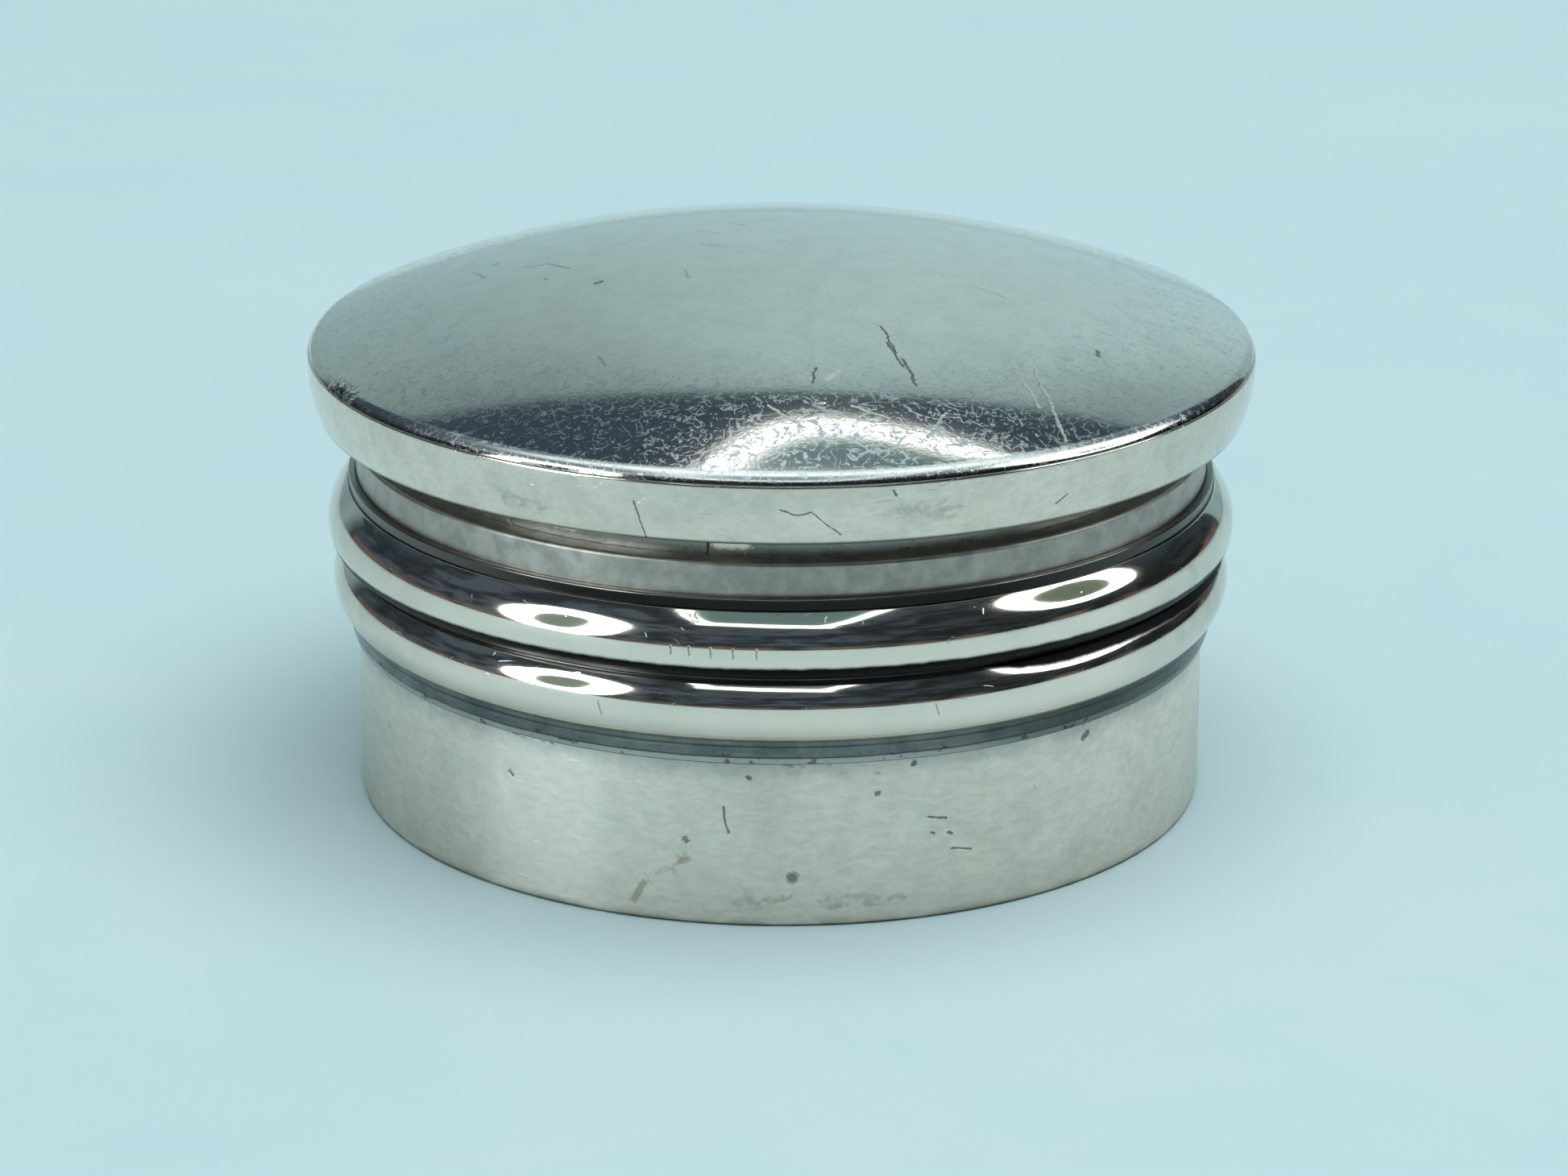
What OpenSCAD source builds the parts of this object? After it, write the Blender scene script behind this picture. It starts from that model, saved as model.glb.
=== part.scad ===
// Round silver pill box with a domed lift-off lid.
// Every piece is a ring, tube or disc about the Z axis. The box stands on z = 0, and its axis is x = y = 0.

/* [Body] */
// Outer radius of the body tube
body_r = 14.45; // [13.8:0.05:14.6]
// Height of the body tube, up to its lip
body_h = 12.36; // [12.1:0.02:12.6]
// Thickness of the silver sheet in the body, base and lid
sheet_t = 0.75; // [0.7:0.01:0.8]
// Height that the inner bezel stands up to, where the lid lands on it
bezel_top = 14.85; // [14.6:0.05:15]
// Thickness of the bezel's wall
bezel_t = 0.55; // [0.4:0.05:0.7]
// Length of the bezel that is lapped and soldered inside the body tube
bezel_lap = 3.2; // [2:0.2:6]

/* [Moulding] */
// Height of the moulding band's lower edge
band_low = 5.65; // [5.2:0.05:6]
// Height of the moulding band's upper edge
band_high = 11.25; // [11.1:0.01:11.4]
// Thickness of the moulding band
band_t = 0.25; // [0.2:0.01:0.3]
// Outer radius of the upper bead
upper_bead_r = 15.42; // [15.3:0.02:15.5]
// Height of the upper bead's middle
upper_bead_z = 9.53; // [9.45:0.01:9.6]
// Radius that the upper bead's section is rounded to
upper_bead_round = 1.6; // [1.5:0.02:1.64]
// Outer radius of the lower bead
lower_bead_r = 15.28; // [15.1:0.02:15.4]
// Height of the lower bead's middle
lower_bead_z = 7.53; // [7.45:0.01:7.6]
// Radius that the lower bead's section is rounded to
lower_bead_round = 1.36; // [1.3:0.02:1.4]
// Height at which the two beads meet
bead_split = 8.6; // [8.5:0.02:8.7]

/* [Lid] */
// Largest radius of the lid, at the top of its rim
lid_r = 16; // [15.8:0.05:16.4]
// Height of the dome's crown above the table
lid_top = 18.84; // [18.4:0.02:19.4]
// Height of the rim's lower edge
rim_low = 13.38; // [13.2:0.02:13.5]
// Height at which the rim is widest
rim_widest = 15.25; // [15.2:0.01:15.3]
// Radius of the rounded corner between the dome and the rim
corner_round = 0.55; // [0.4:0.05:0.7]
// Radius of the rim's hollowed-in curve, seen in section
rim_round = 5; // [4:0.1:8]
// Least thickness of the rim
rim_t = 0.9; // [0.8:0.05:1]
// Thickness of the lid's inner sleeve
sleeve_t = 0.6; // [0.5:0.05:0.7]
// Thickness of the flat rings inside the lid
ring_t = 0.5; // [0.4:0.05:0.6]
// Width of the ring that lands on the bezel
seat_w = 0.85; // [0.7:0.05:1.2]

/* [Fit] */
// Radial running gap between the bezel and the lid's sleeve
lid_gap = 0.05; // [0.03:0.01:0.1]
// Gap left between the two beads where they meet
bead_gap = 0.04; // [0.02:0.01:0.1]

/* [Hidden] */
$fn = 180;
cut_r = 40;

// Body
body_bore = body_r - sheet_t;
bezel_bore = body_bore - bezel_t;
band_r = body_r + band_t;

// Lid, from the axis outwards
sleeve_in = body_bore + lid_gap;
sleeve_out = sleeve_in + sleeve_t;
rim_in = lid_r - rim_t;
corner_r = lid_r - corner_round;
// The dome is a ball cap that runs smoothly into the rounded corner
corner_drop = rim_widest - lid_top;
dome_ball = (pow(corner_round, 2) - pow(corner_r, 2) - pow(corner_drop, 2)) / (2 * (corner_drop + corner_round));
dome_mid = lid_top - dome_ball;
dome_edge = corner_r + corner_round * corner_r / (dome_ball - corner_round);
// The dome's sheet sits on the rim ring at this height
seam_z = rim_widest + 0.15;
sleeve_top = seam_z - 0.05;

// A tube about the axis, between two radii and two heights
module tube(r_in, r_out, z_low, z_high) {
    translate([0, 0, z_low])
        rotate_extrude()
            translate([r_in, 0])
                square([r_out - r_in, z_high - z_low]);
}

// A bead whose flat back is on the moulding band and whose face is part of a circle
module bead(r_out, z_mid, section_round, z_low, z_high) {
    rotate_extrude()
        intersection() {
            translate([r_out - section_round, z_mid])
                circle(section_round);
            translate([band_r, z_low])
                square([r_out, z_high - z_low]);
        }
}

// Round the outside of the corner, as a full disc in the section
module corner_section() {
    translate([corner_r, rim_widest])
        circle(corner_round);
}

module base_plate() {
    color("silver")
        cylinder(r = body_bore, h = sheet_t);
}

module body_tube() {
    color("silver")
        tube(body_bore, body_r, 0, body_h);
}

module inner_bezel() {
    color("dimgray")
        tube(bezel_bore, body_bore, body_h - bezel_lap, bezel_top);
}

module moulding_band() {
    color("slategray")
        tube(body_r, band_r, band_low, band_high);
}

module upper_bead() {
    color("gainsboro")
        bead(upper_bead_r, upper_bead_z, upper_bead_round, bead_split + bead_gap / 2, band_high);
}

module lower_bead() {
    color("gainsboro")
        bead(lower_bead_r, lower_bead_z, lower_bead_round, band_low, bead_split - bead_gap / 2);
}

// The domed top: a ball cap of sheet, and the rounded corner that lands on the rim
module lid_dome() {
    color("silver")
        rotate_extrude()
            difference() {
                union() {
                    intersection() {
                        translate([0, dome_mid])
                            circle(dome_ball, $fn = 720);
                        translate([0, seam_z])
                            square([dome_edge, lid_top]);
                    }
                    intersection() {
                        corner_section();
                        translate([corner_r, seam_z])
                            square([lid_r, lid_top]);
                    }
                }
                intersection() {
                    translate([0, dome_mid])
                        circle(dome_ball - sheet_t, $fn = 720);
                    square([rim_in, lid_top]);
                }
            }
}

// The turned-down rim, widest just under the corner and drawn in towards its lower edge
module lid_rim() {
    color("lightgray")
        rotate_extrude()
            intersection() {
                union() {
                    intersection() {
                        translate([lid_r - rim_round, rim_widest])
                            circle(rim_round);
                        square([lid_r, rim_widest]);
                    }
                    corner_section();
                }
                translate([rim_in, rim_low])
                    square([lid_r, seam_z - rim_low]);
            }
}

// The flat ring that closes the underside of the rim
module lid_under_ring() {
    color("silver")
        tube(sleeve_out, rim_in, rim_low + 0.1, rim_low + 0.1 + ring_t);
}

// The sleeve that slips over the bezel
module lid_sleeve() {
    color("silver")
        tube(sleeve_in, sleeve_out, rim_low, sleeve_top);
}

// The ring inside the sleeve that rests on the bezel's top edge
module lid_seat_ring() {
    color("silver")
        tube(sleeve_in - seat_w, sleeve_in, bezel_top, sleeve_top);
}

base_plate();
body_tube();
inner_bezel();
moulding_band();
upper_bead();
lower_bead();
lid_dome();
lid_rim();
lid_under_ring();
lid_sleeve();
lid_seat_ring();
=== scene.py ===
import math

import bpy
from mathutils import Matrix, Vector, noise


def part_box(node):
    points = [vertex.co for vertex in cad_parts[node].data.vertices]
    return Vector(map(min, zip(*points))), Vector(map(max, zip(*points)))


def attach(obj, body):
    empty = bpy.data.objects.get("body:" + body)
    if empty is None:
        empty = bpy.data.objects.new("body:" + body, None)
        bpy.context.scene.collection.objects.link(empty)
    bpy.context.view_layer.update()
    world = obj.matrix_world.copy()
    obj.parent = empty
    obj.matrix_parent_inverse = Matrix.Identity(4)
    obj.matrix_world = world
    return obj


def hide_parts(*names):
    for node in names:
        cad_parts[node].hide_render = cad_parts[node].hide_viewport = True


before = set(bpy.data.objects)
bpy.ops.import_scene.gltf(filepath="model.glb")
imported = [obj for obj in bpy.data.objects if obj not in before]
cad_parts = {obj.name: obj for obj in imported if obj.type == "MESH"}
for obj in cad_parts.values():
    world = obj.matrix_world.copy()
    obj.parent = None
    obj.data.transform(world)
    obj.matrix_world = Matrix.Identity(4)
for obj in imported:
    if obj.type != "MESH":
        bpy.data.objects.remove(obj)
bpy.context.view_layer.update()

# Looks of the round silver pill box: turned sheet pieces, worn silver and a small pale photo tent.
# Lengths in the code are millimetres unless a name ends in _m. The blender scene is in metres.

MM = 0.001
STEPS_AROUND = 288


# ---------------------------------------------------------------- sizes from the frame

def radii_and_heights(node):
    """Least and largest radius, and lowest and highest point, of a CAD node, in millimetres."""
    points = [v.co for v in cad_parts[node].data.vertices]
    radii = [math.hypot(p.x, p.y) / MM for p in points]
    low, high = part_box(node)
    return min(radii), max(radii), low.z / MM, high.z / MM


_, PLATE_R, _, PLATE_HIGH = radii_and_heights("base_plate")
TUBE_IN, TUBE_R, TUBE_LOW, TUBE_HIGH = radii_and_heights("body_tube")
BEZEL_IN, BEZEL_R, BEZEL_LOW, BEZEL_HIGH = radii_and_heights("inner_bezel")
BAND_IN, BAND_R, BAND_LOW, BAND_HIGH = radii_and_heights("moulding_band")
UPPER_IN, UPPER_R, _, _ = radii_and_heights("upper_bead")
LOWER_IN, LOWER_R, LOWER_LOW, _ = radii_and_heights("lower_bead")
_, _, _, DOME_HIGH = radii_and_heights("lid_dome")
RIM_IN, RIM_R, RIM_LOW, RIM_HIGH = radii_and_heights("lid_rim")

CORNER = 0.55                       # radius of the lid's rounded corner
CORNER_R = RIM_R - CORNER
CORNER_Z = RIM_HIGH - 0.15          # height of the corner's middle, where the lid is widest
SHEET = TUBE_R - TUBE_IN            # thickness of the metal
DROP = CORNER_Z - DOME_HIGH
# The dome is part of a ball that runs smoothly on into the rounded corner.
DOME_BALL = (CORNER ** 2 - CORNER_R ** 2 - DROP ** 2) / (2 * (DROP + CORNER))
DOME_MID = DOME_HIGH - DOME_BALL
DOME_LEAN = math.atan2(CORNER_Z - DOME_MID, CORNER_R)
DOME_EDGE = CORNER_R + CORNER * math.cos(DOME_LEAN)
RIM_CURVE = 5.0                     # radius of the rim's curve in section
EDGE = 0.06                         # rounding of the edges that have no larger one of their own
UPPER_Z, LOWER_Z = 9.53, 7.53       # heights at which the beads stand out furthest


# ---------------------------------------------------------------- turned meshes

def arc(centre_r, centre_z, radius, start, end, steps):
    """Points (r, z) along part of a circle, with angles in radians from the outward direction."""
    angles = [start + (end - start) * k / steps for k in range(steps + 1)]
    return [Vector((centre_r + radius * math.cos(a), centre_z + radius * math.sin(a)))
            for a in angles]


def straight(start, end, longest=0.7, support=0.03):
    """Points between two ends, leaving the ends out.

    One lies close to each end, which keeps the shading flat between them.
    """
    start, end = Vector(start), Vector(end)
    length = (end - start).length
    if length < 3 * support:
        return []
    pieces = max(1, round(length / longest))
    shares = [support / length] + [k / pieces for k in range(1, pieces)] + [1 - support / length]
    return [start.lerp(end, share) for share in shares]


def rounded(corners, steps=5):
    """The closed outline through (r, z, fillet) corners, each rounded by its own fillet."""
    turns = []
    for index, (r, z, fillet) in enumerate(corners):
        here = Vector((r, z))
        back = (Vector(corners[index - 1][:2]) - here).normalized()
        ahead = (Vector(corners[(index + 1) % len(corners)][:2]) - here).normalized()
        half = back.angle(ahead) / 2
        start, end = here + back * fillet / math.tan(half), here + ahead * fillet / math.tan(half)
        middle = here + (back + ahead).normalized() * fillet / math.sin(half)
        spokes = [(start - middle).lerp(end - middle, k / steps).normalized()
                  for k in range(steps + 1)]
        turns.append([middle + spoke * fillet for spoke in spokes])
    outline = []
    for index, turn in enumerate(turns):
        outline += turn + straight(turn[-1], turns[(index + 1) % len(turns)][0])
    return outline


def lathe(name, outline, closed=True, unevenness=0.0, grain=6.0):
    """A smooth turned mesh of an anticlockwise outline, in millimetres.

    Unevenness is how far the surface may dip below its outline, and grain is how wide the dips are.
    """
    vertices, faces, rows = [], [], []
    seed = sum(ord(letter) for letter in name)
    for point in outline:
        if point.x < 1e-6:
            vertices.append(Vector((0, 0, point.y)))
            rows.append([len(vertices) - 1] * STEPS_AROUND)
            continue
        row = []
        for step in range(STEPS_AROUND):
            angle = 2 * math.pi * step / STEPS_AROUND
            place = Vector((point.x * math.cos(angle), point.x * math.sin(angle), point.y))
            dip = unevenness * (0.5 + 0.5 * noise.noise(place / grain + Vector((seed, 0, 0))))
            shrink = 1 - max(0.0, dip) / max(point.x, 1.0)
            vertices.append(Vector((place.x * shrink, place.y * shrink, place.z)))
            row.append(len(vertices) - 1)
        rows.append(row)
    count = len(rows)
    for index in range(count if closed else count - 1):
        row, after = rows[index], rows[(index + 1) % count]
        for step in range(STEPS_AROUND):
            step2 = (step + 1) % STEPS_AROUND
            corners = (row[step], row[step2], after[step2], after[step])
            corners = list(dict.fromkeys(corners))      # at a pole two corners are one
            if len(corners) > 2:
                faces.append(corners)
    mesh = bpy.data.meshes.new(name)
    mesh.from_pydata([v * MM for v in vertices], [], faces)
    mesh.polygons.foreach_set("use_smooth", [True] * len(mesh.polygons))
    mesh.validate()
    mesh.update()
    made = bpy.data.objects.new(name, mesh)
    bpy.context.scene.collection.objects.link(made)
    return made


def tube_corners(r_in, r_out, low, high, fillet):
    """The four corners of a tube's section, anticlockwise with +r to the right and +z up."""
    return [(r_in, low, fillet), (r_out, low, fillet), (r_out, high, fillet), (r_in, high, fillet)]


def bead_side(widest, turns, way):
    """The part of a bead's face above its widest point (way 1), or below it (way -1)."""
    side = []
    centre, radius, angle = None, None, 0.0
    for arc_radius, end in turns:
        if end * way <= 0:
            continue
        if centre is None:
            centre = Vector((widest[0] - arc_radius, widest[1]))
        else:
            centre = centre + Vector((math.cos(angle), math.sin(angle))) * (radius - arc_radius)
        radius, end = arc_radius, math.radians(end)
        side += arc(centre.x, centre.y, radius, angle, end, 18)[1:]
        angle = end
    return side


def bead_outline(widest, turns, back):
    """A bead's section: a flat back, and a face of arcs (radius, end angle) that run smoothly on.

    The arcs start at the widest point. Those with an end angle above 0 go up, and the others down.
    """
    face = bead_side(widest, turns, -1)[::-1] + [Vector(widest)] + bead_side(widest, turns, 1)
    face = [point for point in face if point.x > back + 0.005]
    return [Vector((back, face[0].y))] + face + [Vector((back, face[-1].y))]


def plate_outline():
    """The base plate: a shallow dished underside within a flat foot ring, and a flat top."""
    dish = [(0, 0.05), (PLATE_R - 2.4, 0.05), (PLATE_R - 2.2, 0.046),
            (PLATE_R - 1.8, 0.004), (PLATE_R - 1.6, 0)]
    foot = arc(PLATE_R - EDGE, EDGE, EDGE, -math.pi / 2, 0, 5)
    shoulder = arc(PLATE_R - EDGE, PLATE_HIGH - EDGE, EDGE, 0, math.pi / 2, 5)
    top = straight(shoulder[-1], (0, PLATE_HIGH))
    return [Vector(point) for point in dish] + foot + shoulder + top + [Vector((0, PLATE_HIGH))]


def dome_outline():
    """The lid's top, anticlockwise: out below the sheet, round the corner and over to the crown."""
    seam = RIM_HIGH + 0.002
    outer = arc(0, DOME_MID, DOME_BALL, math.pi / 2, DOME_LEAN, 64)
    seam_angle = math.asin((seam - CORNER_Z) / CORNER)
    corner = arc(CORNER_R, CORNER_Z, CORNER, DOME_LEAN, seam_angle, 14)
    inner_ball = DOME_BALL - SHEET
    inner_edge = math.acos(RIM_IN / inner_ball)
    inner = arc(0, DOME_MID, inner_ball, inner_edge, math.pi / 2, 40)
    inner[-1].x = 0.0
    outer[0].x = 0.0
    foot = straight(corner[-1], (RIM_IN, seam), 0.4)
    inwards = outer + corner[1:] + foot + [Vector((RIM_IN, seam))] + inner
    return inwards[::-1]


def rim_outline():
    """The lid's turned-down rim, widest at the corner and drawn in towards its rounded lip."""
    lip = 0.12
    centre_r = RIM_R - RIM_CURVE
    low_angle = -math.asin((CORNER_Z - RIM_LOW - lip) / (RIM_CURVE - lip))
    face = arc(centre_r, CORNER_Z, RIM_CURVE, low_angle, 0, 26)
    lip_mid = Vector((centre_r + (RIM_CURVE - lip) * math.cos(low_angle), RIM_LOW + lip))
    turn = arc(lip_mid.x, lip_mid.y, lip, -math.pi / 2, low_angle, 8)[:-1]
    seam_angle = math.asin((RIM_HIGH - CORNER_Z) / CORNER)
    corner = arc(CORNER_R, CORNER_Z, CORNER, 0, seam_angle, 4)[1:]
    inside = [Vector((RIM_IN, RIM_HIGH))] + straight((RIM_IN, RIM_HIGH), (RIM_IN, RIM_LOW))
    return turn + face + corner + inside + [Vector((RIM_IN, RIM_LOW))]


# ---------------------------------------------------------------- materials

class Surface:
    """A node material with short calls for the nodes that every finish here uses."""

    def __init__(self, name):
        self.material = bpy.data.materials.new(name)
        self.material.use_nodes = True
        self.tree = self.material.node_tree
        self.shader = self.tree.nodes["Principled BSDF"]
        place = self.node("ShaderNodeTexCoord").outputs["Object"]
        self.place = self.vector("SCALE", place, Scale=1 / MM)
        parts = self.node("ShaderNodeSeparateXYZ", Vector=self.place)
        self.x, self.y, self.z = parts.outputs

    def node(self, kind, settings=None, **inputs):
        node = self.tree.nodes.new(kind)
        for key, value in (settings or {}).items():
            setattr(node, key, value)
        for key, value in inputs.items():
            self.put(node.inputs[key.replace("_", " ")], value)
        return node

    def put(self, socket, value):
        if isinstance(value, bpy.types.NodeSocket):
            self.tree.links.new(value, socket)
        else:
            socket.default_value = value

    def vector(self, operation, first, second=None, **inputs):
        node = self.node("ShaderNodeVectorMath", {"operation": operation}, **inputs)
        self.put(node.inputs[0], first)
        if second is not None:
            self.put(node.inputs[1], second)
        scalar = operation in ("LENGTH", "DOT_PRODUCT", "DISTANCE")
        return node.outputs["Value" if scalar else "Vector"]

    def math(self, operation, first, second=0.0, clamp=False):
        node = self.node("ShaderNodeMath", {"operation": operation, "use_clamp": clamp})
        self.put(node.inputs[0], first)
        self.put(node.inputs[1], second)
        return node.outputs[0]

    def times(self, first, second):
        return self.math("MULTIPLY", first, second)

    def plus(self, first, second):
        return self.math("ADD", first, second)

    def unsigned(self, value):
        """The value without its sign."""
        return self.math("ABSOLUTE", value)

    def rest(self, mask):
        """1 where the mask is 0, and 0 where it is 1."""
        return self.math("SUBTRACT", 1.0, mask)

    def stretched(self, *scales):
        """The place, scaled along x, y and z: a scale of 0 leaves that direction out."""
        return self.vector("MULTIPLY", self.place, scales)

    def reach(self):
        """The distance from the box's axis."""
        return self.vector("LENGTH", self.stretched(1, 1, 0))

    def combine(self, x, y, z=0.0):
        return self.node("ShaderNodeCombineXYZ", X=x, Y=y, Z=z).outputs[0]

    def ease(self, value, low, high, start=0.0, end=1.0):
        """Value turned smoothly from start, at low, to end, at high."""
        return self.node("ShaderNodeMapRange", {"interpolation_type": "SMOOTHSTEP"}, Value=value,
                         From_Min=low, From_Max=high, To_Min=start, To_Max=end).outputs[0]

    def noise(self, scale, detail=3.0, rough=0.5, warp=0.0, place=None, offset=0.0):
        """Soft noise from 0 to 1, with scale in waves a millimetre."""
        place = self.place if place is None else place
        if offset:
            place = self.vector("ADD", place, (offset, -offset, 0.7 * offset))
        return self.node("ShaderNodeTexNoise", Vector=place, Scale=scale, Detail=detail,
                         Roughness=rough, Distortion=warp).outputs["Fac"]

    def mix(self, share, first, second):
        node = self.node("ShaderNodeMix", {"data_type": "RGBA"})
        self.put(node.inputs["Factor"], share)
        self.put(node.inputs[6], first)
        self.put(node.inputs[7], second)
        return node.outputs[2]

    def tint(self, colour, paint, mask, share=None):
        """Colour with paint over it where the mask is 1, thinned to a share if one is given."""
        return self.mix(mask if share is None else self.times(mask, share), colour, paint)

    def most(self, *values):
        """The largest of several masks."""
        result = values[0]
        for value in values[1:]:
            result = self.math("MAXIMUM", result, value)
        return result

    def around(self, radius):
        """A point on a wall, unrolled: millimetres round from the front, and height."""
        angle = self.math("ARCTAN2", self.x, self.times(self.y, -1.0))
        return self.combine(self.times(angle, radius), self.z)

    def band(self, low, high, soft):
        """1 between two heights, and 0 outside, with soft edges."""
        up = self.ease(self.z, low - soft, low + soft)
        return self.times(up, self.ease(self.z, high - soft, high + soft, 1.0, 0.0))

    def hairs(self, scale, width, coverage, offset=0.0, warp=0.0, stretch=(1, 1, 1)):
        """Fine curved hairlines: thin level lines of noise, broken into short pieces."""
        place = self.stretched(*stretch)
        level = self.noise(scale, 1.5, 0.5, warp, place, offset)
        line = self.unsigned(self.math("SUBTRACT", level, 0.5))
        thin = self.ease(line, 0.0, width, 1.0, 0.0)
        cut = self.noise(scale * 1.7, 2.0, 0.6, 0.0, place, offset + 11.3)
        return self.times(thin, self.ease(cut, coverage, coverage + 0.05))

    def specks(self, scale, size, share, offset=0.0):
        """Small round specks in a share of the cells of a grid of random points."""
        place = self.vector("ADD", self.place, (offset, offset, offset))
        warp = self.node("ShaderNodeTexNoise", Vector=place, Scale=scale * 2.5, Detail=1.0)
        bend = self.vector("SCALE", warp.outputs["Color"], Scale=0.35 / scale)
        bent = self.vector("ADD", place, bend)
        cells = self.node("ShaderNodeTexVoronoi", Vector=bent, Scale=scale)
        dot = self.ease(cells.outputs["Distance"], size * 0.5, size, 1.0, 0.0)
        pick = self.node("ShaderNodeSeparateColor", Color=cells.outputs["Color"]).outputs[0]
        return self.times(dot, self.ease(pick, 1 - share, 1 - share + 0.02))

    def stroke(self, flat, start, end, width):
        """How far a place is from a mark between two places, as a share of the mark's width."""
        along = (end[0] - start[0], end[1] - start[1], 0.0)
        length2 = max(along[0] ** 2 + along[1] ** 2, 1e-6)
        offset = self.vector("SUBTRACT", flat, (start[0], start[1], 0.0))
        share = self.math("DIVIDE", self.vector("DOT_PRODUCT", offset, along), length2, clamp=True)
        nearest = self.vector("SCALE", along, Scale=share)
        return self.math("DIVIDE", self.vector("DISTANCE", offset, nearest), width)

    def strokes(self, flat, marks, jitter=0.05, grain=2.2, fray=0.3):
        """Several marks (start, end, width) that wander by about jitter and have frayed edges.

        Flat is where the marks are placed: seen from above, or on a wall unrolled by around.
        """
        wave = self.node("ShaderNodeTexNoise", Vector=self.place, Scale=grain, Detail=2.0)
        shift = self.vector("SUBTRACT", wave.outputs["Color"], (0.5, 0.5, 0.5))
        wandering = self.vector("ADD", flat, self.vector("SCALE", shift, Scale=4 * jitter))
        wandering = self.vector("MULTIPLY", wandering, (1, 1, 0))
        nearest = 9.0
        for mark in marks:
            nearest = self.math("MINIMUM", self.stroke(wandering, *mark), nearest)
        edge = self.times(self.math("SUBTRACT", self.noise(5 * grain, 2, 0.6), 0.5), 4 * fray)
        return self.ease(self.plus(nearest, edge), 0.35, 1.0, 1.0, 0.0)

    def show(self, shader):
        """Makes a shader node the one that the surface shows."""
        self.put(self.tree.nodes["Material Output"].inputs["Surface"], shader.outputs[0])

    def finish(self, colour, roughness, height):
        """Wires the metal: colour, roughness and a bump whose height is in millimetres."""
        self.shader.inputs["Metallic"].default_value = 1.0
        self.put(self.shader.inputs["Base Color"], colour)
        self.put(self.shader.inputs["Roughness"], roughness)
        bump = self.node("ShaderNodeBump", Height=height, Distance=MM)
        self.put(self.shader.inputs["Normal"], bump.outputs[0])
        return self.material


# Colours of the metal itself and, from BROWN on, of what lies on it; GREY, SLATE, SOOT and BLACK
# also paint shade in places.
SILVER = (0.87, 0.77, 0.66, 1)
WARM = (0.84, 0.71, 0.56, 1)
COOL = (0.78, 0.75, 0.69, 1)
BROWN = (0.24, 0.16, 0.10, 1)
GREY = (0.34, 0.33, 0.29, 1)
SLATE = (0.20, 0.23, 0.24, 1)
SOOT = (0.035, 0.032, 0.03, 1)
BLACK = (0.008, 0.007, 0.008, 1)


def worn(surface, cloud_share=0.35, offset=0.0):
    """Silver whose colour drifts between neutral, warm and cool patches."""
    warm = surface.ease(surface.noise(0.22, 3, 0.55, 0.4, None, offset), 0.48, 0.72, 0.0,
                        cloud_share)
    cool = surface.ease(surface.noise(0.35, 4, 0.6, 0.3, None, offset + 5), 0.5, 0.75, 0.0,
                        cloud_share)
    return surface.mix(cool, surface.mix(warm, SILVER, WARM), COOL)


def total(surface, *terms):
    """The sum of mask * weight over the terms."""
    result = 0.0
    for mask, weight in terms:
        result = surface.plus(surface.times(mask, weight), result)
    return result


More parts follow.
